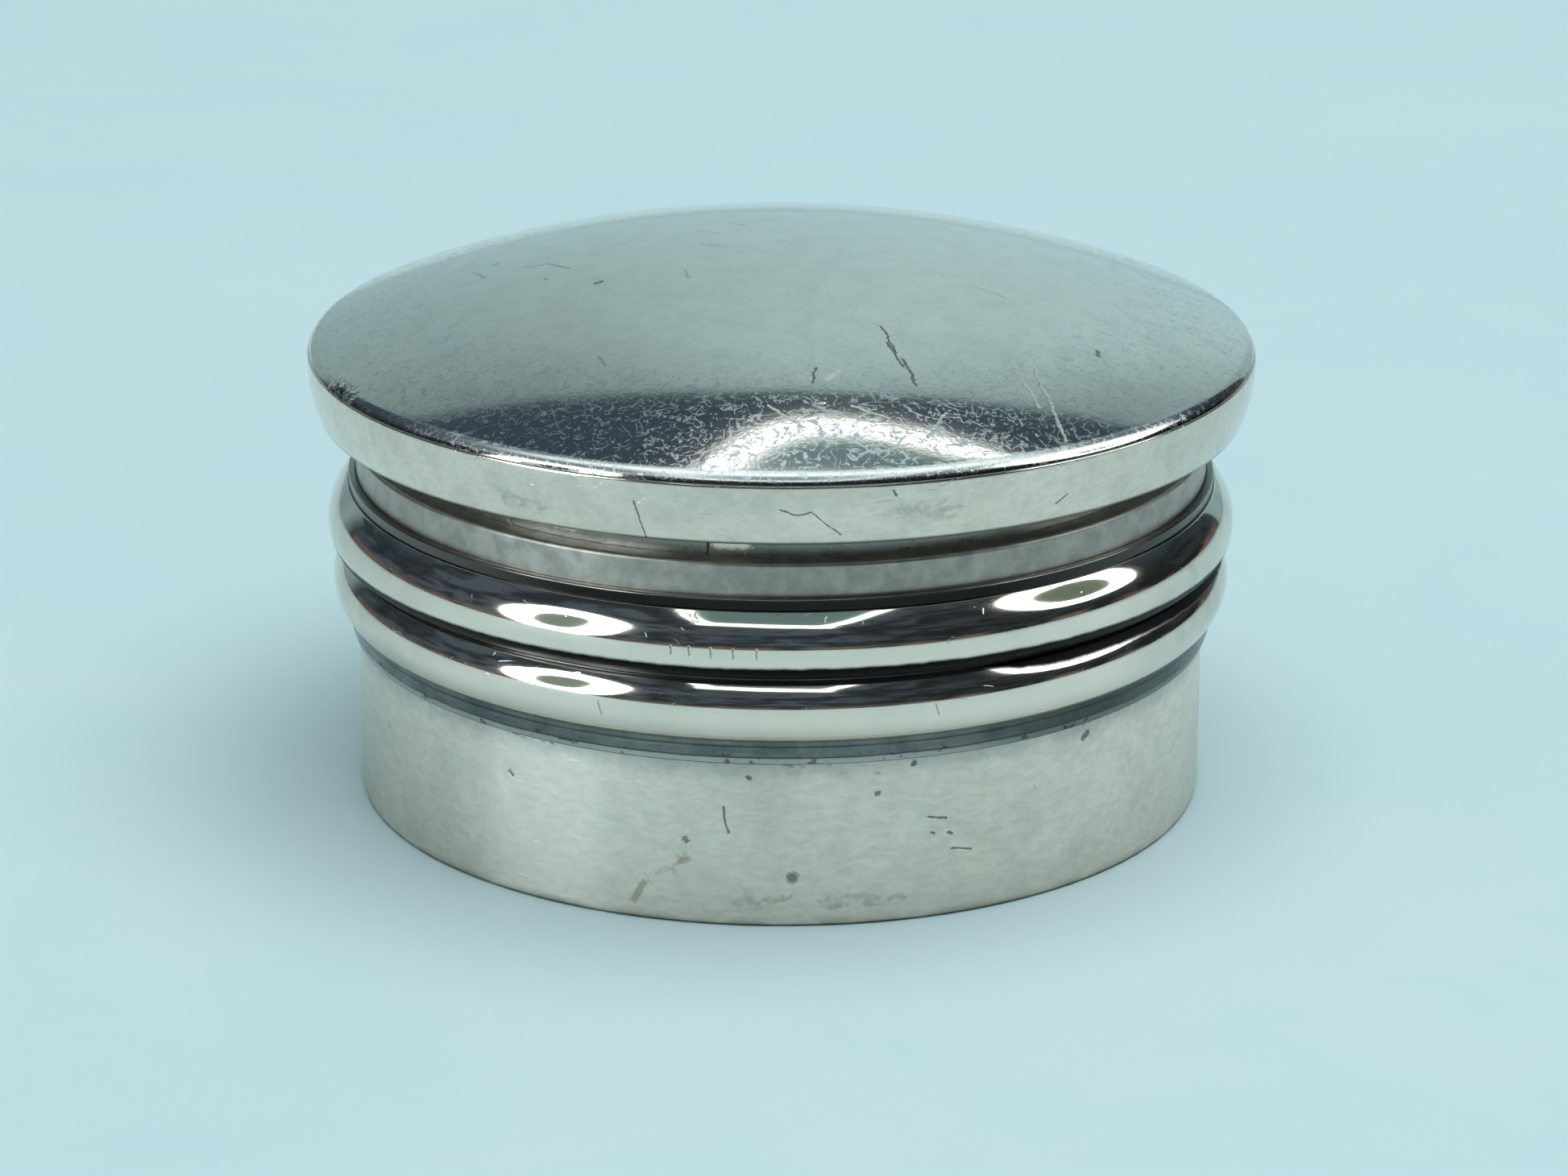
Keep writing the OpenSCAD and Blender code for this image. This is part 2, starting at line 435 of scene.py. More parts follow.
def dome_material():
    """Satin dome: a soft mirror with many curved hairlines near its edge, scratches and nicks."""
    s = Surface("dome_silver")
    flat = s.stretched(1, 1, 0)
    radius = s.vector("LENGTH", flat)
    deep = s.strokes(flat, [
        ((3.2, -7.2), (3.7, -9.0), 0.045), ((3.4, -8.3), (3.9, -9.8), 0.05),
        ((3.9, -9.3), (4.3, -10.9), 0.06), ((1.1, -10.2), (1.0, -11.1), 0.05),
        ((10.3, -6.4), (10.3, -6.8), 0.09),
    ], 0.06)
    faint = s.strokes(flat, [
        ((-8.7, 0.2), (-8.0, 0.0), 0.09), ((-7.9, 0.1), (-7.1, -1.0), 0.09),
        ((-10.5, 1.1), (-10.0, 0.0), 0.09), ((-3.2, -2.6), (-3.1, -3.4), 0.06),
        ((-2.7, 0.3), (-1.9, -0.3), 0.07), ((-5.9, -8.8), (-5.6, -9.4), 0.05),
    ], 0.06)
    bright = s.strokes(flat, [
        ((7.5, -8.9), (8.2, -11.0), 0.06), ((8.1, -8.6), (9.0, -12.5), 0.07),
        ((1.5, -10.9), (1.9, -10.4), 0.11), ((5.2, -12.2), (4.6, -13.6), 0.05),
        ((2.2, -12.3), (3.4, -12.8), 0.05), ((-0.4, -12.4), (0.4, -13.2), 0.05),
    ], 0.06)
    arcs = s.strokes(flat, [
        ((-1.9, 3.5), (-1.1, 2.5), 0.05), ((-2.8, 2.2), (-2.0, 1.4), 0.05),
        ((6.3, -3.0), (7.4, -3.6), 0.05),
    ], 0.1, 0.8)
    edge = s.ease(radius, 8.0, 14.5)
    hair = s.most(s.hairs(1.1, 0.028, 0.48, 0.0, 1.2), s.hairs(1.6, 0.032, 0.48, 17.0, 0.8),
                  s.hairs(2.2, 0.036, 0.49, 31.0, 0.4))
    rub = s.most(s.hairs(0.8, 0.010, 0.55, 3.0, 0.0, (1, 0.25, 1)),
                 s.hairs(0.9, 0.010, 0.55, 8.0, 0.0, (0.3, 1, 1)))
    hair = s.times(s.most(hair, rub), s.ease(edge, 0.0, 1.0, 0.3, 1.0))
    nicks = s.specks(0.55, 0.13, 0.10, 2.0)

    # The rounded corner: a lighter line, burnished where hands hold it and partly a painted
    # highlight, with pits at the far left.
    corner = s.around(RIM_R)
    highlight_span = s.times(s.ease(s.x, -14.0, -9.8), s.ease(s.x, 12.2, 13.6, 1.0, 0.0))
    burnish_and_highlight = s.times(s.ease(s.z, CORNER_Z + 0.27, CORNER_Z + 0.33),
                      s.ease(radius, DOME_EDGE - 0.12, DOME_EDGE - 0.02))
    burnish_and_highlight = s.times(burnish_and_highlight, highlight_span)
    # A dark line at the seam with the rim: the joint, darkened with painted shade as in a groove.
    line = s.times(s.ease(s.z, CORNER_Z + 0.24, CORNER_Z + 0.30, 1.0, 0.0),
                   s.ease(radius, RIM_R - 0.4, RIM_R - 0.3))
    worn_edge = s.strokes(corner, [((-18.9, CORNER_Z + 0.30), (-17.4, CORNER_Z + 0.36), 0.34)])
    worn_edge = s.times(worn_edge, s.ease(radius, DOME_EDGE - 0.16, DOME_EDGE - 0.06))
    pits = s.times(s.ease(s.noise(4.0, 2, 0.6, 0.5), 0.44, 0.50), worn_edge)

    grain = s.noise(5.0, 3, 0.6)
    mottle = s.noise(0.9, 4, 0.6, 0.3, None, 9.0)

    colour = worn(s, 0.25)
    colour = s.tint(colour, GREY, s.ease(mottle, 0.35, 0.75, 0.0, 0.16))
    colour = s.tint(colour, GREY, s.ease(grain, 0.4, 0.7, 0.0, 0.07))
    colour = s.tint(colour, SOOT, s.most(deep, nicks), 0.7)
    colour = s.tint(colour, SOOT, s.most(pits, s.times(s.most(arcs, faint), 0.35)), 0.9)
    colour = s.tint(colour, (0.50, 0.57, 0.62, 1), hair, 0.6)
    # Lighter along the corner: burnish, and a painted highlight.
    colour = s.tint(colour, (0.95, 0.92, 0.86, 1), burnish_and_highlight)
    colour = s.tint(colour, SOOT, line, 0.7)
    roughness = total(s, (hair, 0.20), (burnish_and_highlight, 0.16), (bright, 0.25), (s.most(deep, faint), 0.2),
                      (pits, 0.1), (grain, 0.03), (mottle, 0.03))
    roughness = s.plus(roughness, 0.055)
    height = total(s, (hair, -0.0003), (bright, -0.010), (deep, -0.03), (pits, -0.06),
                   (nicks, -0.02), (s.noise(0.16, 2, 0.5, 0.0, None, 3.0), 0.01),
                   (grain, 0.0006), (s.times(grain, edge), 0.0010))
    return s.finish(colour, roughness, height)


def rim_material():
    """Bright rim: a soft mirror with thin scratches, brown smudges, painted shade on its lip,
    inside and right side, and a dark seam line on top, partly painted shade.
    """
    s = Surface("satin_silver_rim")
    flat = s.around(RIM_R - 0.15)
    deep = s.strokes(flat, [
        ((-4.6, 14.7), (-4.45, 14.1), 0.035), ((-4.45, 14.1), (-4.3, 13.4), 0.03),
        ((0.0, 14.65), (0.4, 14.45), 0.03), ((0.4, 14.45), (0.95, 14.55), 0.03),
        ((0.95, 14.55), (1.4, 14.15), 0.03), ((1.4, 14.15), (1.9, 13.75), 0.03),
        ((3.5, 15.2), (3.6, 15.0), 0.05), ((9.2, 14.0), (9.6, 14.3), 0.03),
    ], 0.03)
    smudge = s.strokes(flat, [
        ((3.8, 14.5), (5.7, 14.4), 0.35), ((-9.2, 14.2), (-8.0, 14.0), 0.3),
    ], 0.2)
    hair = s.most(s.hairs(0.8, 0.010, 0.56, 4.0, 0.6),
                  s.hairs(0.5, 0.008, 0.52, 14.0, 0.0, (1, 1, 3)))
    mottle = s.noise(0.8, 4, 0.6, 0.3, None, 2.0)
    # A dark line at the seam with the dome: the joint, darkened with painted shade as in a groove.
    line = s.ease(s.z, CORNER_Z + 0.135, CORNER_Z + 0.15)
    # The lip and the inside of the rim are painted dark: painted shade under the lid.
    lip = s.band(RIM_LOW - 1, RIM_LOW + 0.10, 0.05)
    shaded_inside = s.ease(s.reach(), RIM_R - 0.75, RIM_R - 0.55, 1.0, 0.0)
    fine = s.noise(3.0, 4, 0.7, 0.0, s.stretched(1, 1, 1.6))

    colour = worn(s, 0.3, 4.0)
    colour = s.tint(colour, GREY, s.ease(mottle, 0.35, 0.7, 0.02, 0.24))
    colour = s.tint(colour, GREY, s.ease(fine, 0.38, 0.66, 0.0, 0.18))
    # Greyer towards the right: painted shade.
    colour = s.tint(colour, GREY, s.ease(s.x, 7, 14, 0.0, 0.14))
    colour = s.tint(colour, SOOT, line, 0.7)
    colour = s.tint(colour, BROWN, s.times(smudge, s.ease(fine, 0.3, 0.6)), 0.3)
    colour = s.tint(colour, SOOT, s.most(lip, shaded_inside), 0.8)
    colour = s.tint(colour, SOOT, deep, 0.75)
    roughness = s.plus(total(s, (hair, 0.12), (deep, 0.2), (smudge, 0.06), (mottle, 0.05)), 0.10)
    height = total(s, (hair, -0.003), (deep, -0.02), (s.noise(0.25, 2, 0.5, 0.0, None, 1.0), 0.015))
    return s.finish(colour, roughness, height)


def chip_noise(surface):
    """Noise for the chips of tarnish where the moulding meets the wall, the same on both pieces."""
    return surface.noise(1.7, 3, 0.6, 0.4, surface.stretched(1, 1, 1.5), 4.0)


def tube_material():
    """The body's wall: spotted satin, dull at the neck, and darker below the moulding with tarnish
    and painted shade.

    One band on the left is painted lighter, a painted highlight, and the foot is brown in places.
    """
    s = Surface("satin_silver_tube")
    flat = s.around(TUBE_R)
    neck = s.ease(s.z, BAND_HIGH - 0.2, BAND_HIGH)
    spots = s.strokes(flat, [
        ((0.4, 1.7), (0.42, 1.73), 0.24), ((-3.05, 2.9), (-3.0, 2.85), 0.14),
        ((3.15, 4.5), (3.2, 4.5), 0.10), ((10.9, 5.1), (11.1, 5.25), 0.16),
        ((4.35, 5.4), (4.4, 5.45), 0.12), ((-1.8, 4.1), (-1.65, 3.2), 0.05),
        ((-9.4, 4.2), (-9.3, 4.1), 0.10), ((4.9, 3.5), (5.5, 3.4), 0.05),
        ((5.0, 2.95), (5.1, 2.9), 0.08), ((5.6, 2.9), (5.7, 2.85), 0.08),
        ((5.7, 2.3), (6.4, 2.2), 0.05), ((-1.0, 5.15), (-0.95, 5.1), 0.1),
    ], 0.04)
    smears = s.strokes(flat, [
        ((-4.3, 1.4), (-3.0, 2.3), 0.22), ((-1.4, 0.9), (0.2, 1.0), 0.22),
        ((1.4, 0.8), (3.9, 0.9), 0.2),
    ], 0.3, 1.5)
    bruise = s.strokes(flat, [
        ((-4.80, 0.62), (-4.42, 1.25), 0.17), ((-3.2, 2.12), (-3.0, 2.2), 0.15),
    ], 0.05)
    foot = s.times(s.band(-1, 0.22, 0.2), s.ease(s.noise(0.5, 3, 0.6), 0.3, 0.6))
    # Darker just below the moulding: tarnish, and painted shade under its overhang.
    tarnish_and_shade = s.ease(s.plus(s.z, s.noise(1.1, 3, 0.6, 0.0, None, 2.0)), BAND_LOW - 0.35,
                   BAND_LOW + 0.65)
    round_wall = s.node("ShaderNodeSeparateXYZ", Vector=flat).outputs[0]       # from the front
    # A lighter vertical band on the front left: a painted highlight.
    painted_highlight = s.times(s.ease(round_wall, -11.0, -9.4), s.ease(round_wall, -6.6, -5.2, 1.0, 0.0))
    chips = s.times(s.band(BAND_LOW - 0.14, BAND_LOW + 0.1, 0.08),
                    s.ease(chip_noise(s), 0.60, 0.65))
    hair = s.most(s.hairs(0.7, 0.010, 0.56, 1.0, 0.5),
                  s.hairs(0.5, 0.008, 0.54, 21.0, 0.0, (1, 1, 3)),
                  s.hairs(0.6, 0.008, 0.56, 41.0, 0.0, (1, 1, 0.3)))
    specks = s.specks(0.8, 0.12, 0.14, 4.0)
    mottle = s.noise(0.5, 5, 0.62, 0.5, None, 7.0)
    fine = s.noise(4.0, 3, 0.65)
    dull = s.noise(1.3, 4, 0.6, 0.3, None, 12.0)
    waves = s.noise(1.6, 4, 0.65, 0.6, s.stretched(1, 1, 2.5), 5.0)
    far_left = s.ease(s.x, -11.1, -9.7, 0.15, 0.0)
    low_down = s.ease(s.z, 0.4, 1.8, 0.12, 0.0)

    colour = worn(s, 0.45, 8.0)
    colour = s.tint(colour, GREY, s.ease(mottle, 0.4, 0.75, 0.0, 0.22))
    colour = s.tint(colour, COOL, s.ease(dull, 0.35, 0.7, 0.0, 0.12))
    colour = s.tint(colour, GREY, s.ease(waves, 0.35, 0.65, 0.08, 0.28))
    colour = s.tint(colour, GREY, far_left)
    colour = s.tint(colour, GREY, low_down)
    colour = s.tint(colour, (0.90, 0.82, 0.72, 1),
                    s.times(painted_highlight, s.ease(waves, 0.3, 0.7, 0.85, 0.5)))
    colour = s.tint(colour, (0.31, 0.285, 0.26, 1),
                    s.times(neck, s.ease(dull, 0.25, 0.75, 0.62, 1.0)))
    colour = s.tint(colour, SOOT, chips, 0.65)
    colour = s.tint(colour, SLATE, s.times(tarnish_and_shade, s.rest(neck)), 0.50)
    colour = s.tint(colour, BROWN, foot, 0.55)
    stain = s.most(s.times(smears, s.ease(fine, 0.3, 0.6)), s.times(specks, 0.7))
    colour = s.tint(colour, BROWN, stain, 0.32)
    colour = s.tint(colour, BROWN, bruise, 0.5)
    colour = s.tint(colour, SOOT, spots, 0.62)
    roughness = total(s, (hair, 0.10), (spots, 0.25), (mottle, 0.10), (fine, 0.06), (neck, 0.10),
                      (smears, 0.08))
    roughness = s.plus(roughness, 0.22)
    height = total(s, (hair, -0.002), (spots, -0.02), (specks, -0.01), (fine, 0.0015),
                   (s.noise(0.2, 2, 0.5, 0.0, None, 1.0), 0.03))
    return s.finish(colour, roughness, height)


def plate_material():
    """The base plate: rings left by turning, rubbed high spots, and tarnish towards its edge."""
    s = Surface("satin_silver_plate")
    radius = s.reach()
    rings = s.noise(5.0, 3, 0.7, 0.0, s.combine(radius, s.times(s.z, 0.05)))
    inside = s.ease(s.z, PLATE_HIGH - 0.2, PLATE_HIGH - 0.1)
    mottle = s.noise(0.35, 5, 0.6, 0.5, None, 3.0)
    hair = s.most(s.hairs(0.6, 0.010, 0.52, 1.0, 0.6),
                  s.hairs(0.4, 0.007, 0.5, 9.0, 0.0, (1, 0.3, 1)))
    edge = s.ease(radius, PLATE_R - 1.6, PLATE_R)
    colour = worn(s, 0.4, 2.0)
    colour = s.tint(colour, GREY, s.ease(mottle, 0.4, 0.7, 0.0, 0.35))
    colour = s.tint(colour, BROWN, s.times(edge, s.ease(mottle, 0.3, 0.6, 0.2, 0.7)))
    colour = s.tint(colour, WARM, inside, 0.25)
    roughness = s.plus(total(s, (rings, 0.12), (mottle, 0.12), (hair, 0.1), (inside, 0.06)), 0.16)
    height = total(s, (rings, 0.006), (hair, -0.005), (s.noise(0.2, 2), 0.03))
    return s.finish(colour, roughness, height)


def bead_material(name, dirt_shade_low, dirt_shade_high, ticks, offset, right_shade=0.0):
    """Polished bead: near mirror, with dirt and painted shade along both feet and short ticks
    across its face.

    The last argument is how much further down the dark at the top reaches on the right, in
    millimetres: painted shade under the bead above.
    """
    s = Surface(name)
    flat = s.around(UPPER_R)
    ragged = s.plus(s.z, s.times(s.noise(1.6, 3, 0.6), 0.10))
    deeper = s.plus(ragged, s.ease(s.x, 5, 9, 0.0, right_shade))
    # Black along both feet: dirt, and painted shade where the neighbouring bead or moulding hides
    # the light.
    dirt_and_shade = s.most(s.ease(ragged, dirt_shade_low, dirt_shade_low + 0.14, 1.0, 0.0),
                  s.ease(deeper, dirt_shade_high, dirt_shade_high + 0.14))
    tick = s.strokes(flat, ticks, 0.02)
    hair = s.most(s.hairs(0.6, 0.007, 0.60, offset, 0.3, (1, 1, 2)),
                  s.hairs(1.1, 0.010, 0.62, offset + 9))
    mottle = s.noise(0.6, 4, 0.6, 0.4, None, offset)
    colour = worn(s, 0.25, offset)
    colour = s.tint(colour, GREY, s.ease(mottle, 0.45, 0.75, 0.0, 0.08))
    # Greyer towards both sides: painted shade.
    shaded_sides = s.ease(s.unsigned(s.x), 10, 15)
    colour = s.tint(colour, GREY, s.times(shaded_sides, s.ease(mottle, 0.3, 0.7, 0.25, 0.55)))
    colour = s.tint(colour, BLACK, dirt_and_shade)
    colour = s.tint(colour, BROWN, tick, 0.6)
    roughness = s.plus(total(s, (dirt_and_shade, 0.4), (hair, 0.08), (tick, 0.2), (mottle, 0.03)), 0.055)
    height = total(s, (hair, -0.0015), (tick, -0.012),
                   (s.noise(0.3, 2, 0.5, 0.0, None, offset), 0.010))
    return s.finish(colour, roughness, height)


def band_material():
    """The moulding's backing band: slate-grey tarnish with rubbed patches, and painted shade in its
    creases and on its right.
    """
    s = Surface("tarnished_silver_band")
    mottle = s.noise(0.7, 5, 0.65, 0.5, None, 3.0)
    streak = s.noise(0.8, 3, 0.6, 0.0, s.stretched(1, 1, 8))
    # Black lines at the step and just below the lower bead: painted shade in the creases.
    crease_shade = s.most(s.band(BAND_LOW + 0.25, BAND_LOW + 0.29, 0.02),
                   s.band(LOWER_LOW - 0.16, LOWER_LOW - 0.10, 0.03))
    # Black along the band's upper part, less so towards the sides.
    top_darkening = s.times(s.band(BAND_HIGH - 0.9, BAND_HIGH - 0.05, 0.03),
                       s.ease(s.unsigned(s.x), 6, 12, 1.0, 0.6))
    edge = s.most(s.ease(s.z, BAND_LOW + 0.01, BAND_LOW + 0.05, 1.0, 0.0), top_darkening)
    specks = s.specks(1.2, 0.2, 0.2, 4.0)
    top = s.ease(s.z, BAND_HIGH - 0.5, BAND_HIGH - 0.3)
    colour = s.mix(s.ease(mottle, 0.3, 0.7), (0.11, 0.125, 0.125, 1), (0.20, 0.21, 0.20, 1))
    colour = s.tint(colour, (0.36, 0.33, 0.29, 1), top, 0.8)
    colour = s.tint(colour, GREY, s.ease(streak, 0.5, 0.7, 0.0, 0.3))
    step = s.ease(s.plus(s.z, s.times(mottle, 0.2)), BAND_LOW + 0.26, BAND_LOW + 0.36, 1.0, 0.0)
    colour = s.tint(colour, COOL, step, 0.38)
    colour = s.tint(colour, BLACK, crease_shade, 0.6)
    # Darker towards the right, and a little on the left: painted shade.
    shaded_sides = s.most(s.ease(s.x, 4, 9, 0.0, 0.58), s.ease(s.x, -9, -4, 0.2, 0.0))
    chips = s.times(s.ease(s.z, BAND_LOW + 0.25, BAND_LOW + 0.5, 0.6, 0.0),
                    s.ease(chip_noise(s), 0.60, 0.65))
    colour = s.tint(colour, SOOT, shaded_sides)
    colour = s.tint(colour, BLACK, s.most(s.times(edge, 0.95), s.times(specks, 0.6), chips))
    roughness = s.plus(total(s, (mottle, 0.12), (streak, 0.06), (specks, 0.2)), 0.13)
    height = total(s, (mottle, 0.004), (specks, -0.02), (s.noise(0.3, 2), 0.02))
    return s.finish(colour, roughness, height)


def bezel_material():
    """The inner bezel: brown-grey tarnish in bands, a soldered joint line, and painted shade where
    the wall and the lid cover it.
    """
    s = Surface("tarnished_silver_bezel")
    flat = s.around(BEZEL_R)
    seam = s.strokes(flat, [((-2.3, TUBE_HIGH - 0.5), (-2.3, BEZEL_HIGH), 0.05)], 0.02)
    rub = s.strokes(flat, [
        ((-1.9, 12.8), (-1.2, 12.7), 0.35), ((-7.6, 12.9), (-7.0, 12.8), 0.3),
    ], 0.1)
    mottle = s.noise(0.8, 5, 0.65, 0.4, None, 6.0)
    streak = s.noise(0.6, 3, 0.6, 0.0, s.stretched(1, 1, 7))
    # Darker where the wall and the lid cover it: painted shade.
    shown = s.band(TUBE_HIGH - 0.2, TUBE_HIGH + 0.16, 0.08)
    outside = s.ease(s.reach(), BEZEL_R - 0.2, BEZEL_R - 0.05)
    painted_shade = s.times(s.rest(shown), outside)
    hair = s.most(s.hairs(0.6, 0.008, 0.52, 4.0, 0.0, (1, 1, 3)),
                  s.hairs(0.5, 0.008, 0.52, 7.0, 0.0, (1, 1, 0.3)))
    colour = s.mix(s.ease(mottle, 0.3, 0.7), (0.40, 0.38, 0.34, 1), (0.52, 0.50, 0.45, 1))
    colour = s.tint(colour, GREY, s.ease(streak, 0.45, 0.7, 0.0, 0.4))
    colour = s.tint(colour, worn(s, 0.4, 3.0), s.rest(outside), 0.8)
    colour = s.tint(colour, SOOT, painted_shade, 0.48)
    colour = s.tint(colour, WARM, rub)
    colour = s.tint(colour, SOOT, seam, 0.8)
    roughness = s.plus(total(s, (mottle, 0.12), (streak, 0.08), (hair, 0.08), (seam, 0.2)), 0.18)
    height = total(s, (mottle, 0.003), (seam, -0.03), (hair, -0.003), (s.noise(0.3, 2), 0.015))
    return s.finish(colour, roughness, height)


def inner_material(name, offset):
    """The lid's hidden rings: turned, slightly warm silver with brown stains where they meet."""
    s = Surface(name)
    mottle = s.noise(0.5, 5, 0.62, 0.4, None, offset)
    rings = s.noise(1.0, 3, 0.6, 0.0, s.stretched(0.3, 0.3, 12))
    hair = s.hairs(0.6, 0.008, 0.5, offset + 4, 0.0, (1, 1, 3))
    stain = s.ease(s.noise(0.3, 4, 0.6, 0.6, None, offset + 8), 0.5, 0.72, 0.0, 0.4)
    colour = s.mix(stain, s.mix(s.ease(mottle, 0.4, 0.7, 0.0, 0.35), worn(s, 0.4, offset), GREY),
                   BROWN)
    roughness = s.plus(total(s, (mottle, 0.12), (rings, 0.10), (hair, 0.08)), 0.18)
    height = total(s, (rings, 0.004), (hair, -0.004), (s.noise(0.25, 2), 0.02))
    return s.finish(colour, roughness, height)


# ---------------------------------------------------------------- the pieces

def piece(name, node, body, outline, material, closed=True, unevenness=0.0, grain=6.0):
    """A turned piece that stands for one CAD node and rides on its body."""
    made = lathe(name, outline, closed, unevenness, grain)
    made.data.materials.append(material)
    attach(made, body)
    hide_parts(node)
    return made


piece("base_plate_turned", "base_plate", "box_body",
      plate_outline(), plate_material(), closed=False)
piece("body_tube_turned", "body_tube", "box_body",
      rounded([(TUBE_IN, TUBE_LOW, EDGE), (TUBE_R, TUBE_LOW, 0.20), (TUBE_R, TUBE_HIGH, 0.12),
               (TUBE_IN, TUBE_HIGH, EDGE)]),
      tube_material(), unevenness=0.02)
piece("inner_bezel_turned", "inner_bezel", "box_body",
      rounded([(BEZEL_IN, BEZEL_LOW, 0.05), (BEZEL_R, BEZEL_LOW, 0.05), (BEZEL_R, BEZEL_HIGH, 0.18),
               (BEZEL_IN, BEZEL_HIGH, 0.10)]),
      bezel_material())

BAND_FOOT = BAND_R - 0.08           # the band's lower edge is set back by a small step
piece("moulding_band_turned", "moulding_band", "box_body",
      rounded([(BAND_IN, BAND_LOW, 0.05), (BAND_FOOT, BAND_LOW, 0.05),
               (BAND_FOOT, BAND_LOW + 0.22, 0.02), (BAND_R, BAND_LOW + 0.26, 0.03),
               (BAND_R, BAND_HIGH, 0.07), (BAND_IN, BAND_HIGH, 0.05)]),
      band_material())

UPPER_ARCS = [(1.6, 32.5), (2.6, 46), (1.6, -10), (0.8, -84)]
LOWER_ARCS = [(1.36, 9), (1.25, 33), (2.6, 40.5), (0.05, 88), (1.36, -55)]
UPPER_TICKS = [((u, 9.82), (u + 0.02, 9.52), 0.04) for u in (-3.5, -2.9, -2.2, -1.5, -0.75)]
LOWER_TICKS = [((5.1, 7.7), (5.2, 7.3), 0.03), ((-6.0, 7.6), (-5.9, 7.2), 0.03)]
piece("upper_bead_turned", "upper_bead", "box_body",
      bead_outline((UPPER_R, UPPER_Z), UPPER_ARCS, UPPER_IN),
      bead_material("polished_silver_upper", UPPER_Z - 0.37, UPPER_Z + 1.38, UPPER_TICKS, 3.0),
      unevenness=0.02, grain=9)
piece("lower_bead_turned", "lower_bead", "box_body",
      bead_outline((LOWER_R, LOWER_Z), LOWER_ARCS, LOWER_IN),
      bead_material("polished_silver_lower", LOWER_Z - 1.22, LOWER_Z + 1.1, LOWER_TICKS, 13.0,
                    right_shade=0.42),
      unevenness=0.02, grain=9)
piece("lid_dome_turned", "lid_dome", "lid",
      dome_outline(), dome_material(), closed=False)
piece("lid_rim_turned", "lid_rim", "lid", rim_outline(), rim_material())
for node in ("lid_under_ring", "lid_sleeve", "lid_seat_ring"):
    r_in, r_out, low, high = radii_and_heights(node)
    piece(node + "_turned", node, "lid",
          rounded(tube_corners(r_in, r_out, low, high, EDGE)),
          inner_material("inner_silver_" + node, len(node)))


# ---------------------------------------------------------------- floor, tent and lights

TENT = (0.40, 0.61, 0.67)
LAMP_WHITE = (0.86, 1.0, 1.04)
FAR = 0.9                           # metres to the tent's walls, so the box's size hardly matters
FLOOR_HALF = 1.5                    # half the floor's side, in metres


def stage_mesh(name, points, faces, material, seen=True):
    """A mesh of the surroundings, in metres. If it isn't seen, it only shows in reflections."""
    mesh = bpy.data.meshes.new(name)
    mesh.from_pydata(points, [], faces)
    mesh.materials.append(material)
    mesh.polygons.foreach_set("use_smooth", [True] * len(mesh.polygons))
    made = bpy.data.objects.new(name, mesh)
    bpy.context.scene.collection.objects.link(made)
    made.visible_camera = seen
    made.visible_diffuse = seen
    made.visible_shadow = seen
    return made


def glow(name, colour, strength):
    """A plain light-giving material for lamps and paper."""
    material = bpy.data.materials.new(name)
    material.use_nodes = True
    nodes, links = material.node_tree.nodes, material.node_tree.links
    nodes.remove(nodes["Principled BSDF"])
    emission = nodes.new("ShaderNodeEmission")
    emission.inputs["Color"].default_value = (*colour, 1)
    emission.inputs["Strength"].default_value = strength
    links.new(emission.outputs[0], nodes["Material Output"].inputs["Surface"])
    return material


def toward(azimuth, elevation):
    """Unit vector from the box, with azimuth in degrees from the front towards +X."""
    a, e = math.radians(azimuth), math.radians(elevation)
    return Vector((math.sin(a) * math.cos(e), -math.cos(a) * math.cos(e), math.sin(e)))


def frame_ring(centre, across, up, half_width, half_height, thickness, squareness, taper, steps=96):
    """Points and faces of a flat hollow ring, between a rounded rectangle and a smaller one."""
    points, faces = [], []
    for inset in (0.0, thickness):
        for step in range(steps):
            t = 2 * math.pi * step / steps
            c, s = math.cos(t), math.sin(t)
            x = math.copysign(abs(c) ** (2 / squareness), c) * (half_width - inset)
            y = math.copysign(abs(s) ** (2 / squareness), s) * (half_height - inset)
            points.append(centre + across * x * (1 - taper * y / half_height) + up * y)
    for step in range(steps):
        after = (step + 1) % steps
        faces.append((step, after, steps + after, steps + step))
    return points, faces, (list(range(steps, 2 * steps)),)


def lamp(name, centre, across, up, sizes, strength, inside, squareness=2.4, taper=0.0):
    """A hollow lamp: a bright frame round a dim panel."""
    points, ring, panel = frame_ring(centre, across, up, *sizes, squareness, taper)
    light = glow(name + "_frame_glow", LAMP_WHITE, strength)
    stage_mesh(name + "_frame", points, ring, light, False)
    stage_mesh(name + "_panel", points, panel, inside, False)


def wall_lamp(name, azimuth, elevation, half_width, half_height, thickness, strength, inside):
    """A lamp that faces the box, with its half sizes and thickness in degrees, seen from there."""
    ahead = toward(azimuth, elevation)
    across = Vector((0, 0, 1)).cross(ahead).normalized()
    up = ahead.cross(across)
    sizes = [FAR * math.tan(math.radians(a)) for a in (half_width, half_height, thickness)]
    lamp(name, ahead * FAR, across, up, sizes, strength, inside)


ground = Surface("pale_floor")
streaks = ground.noise(0.03, 4, 0.55, 0.3, ground.stretched(0.4, 1, 1))
patches = ground.noise(0.09, 5, 0.6, 0.2)
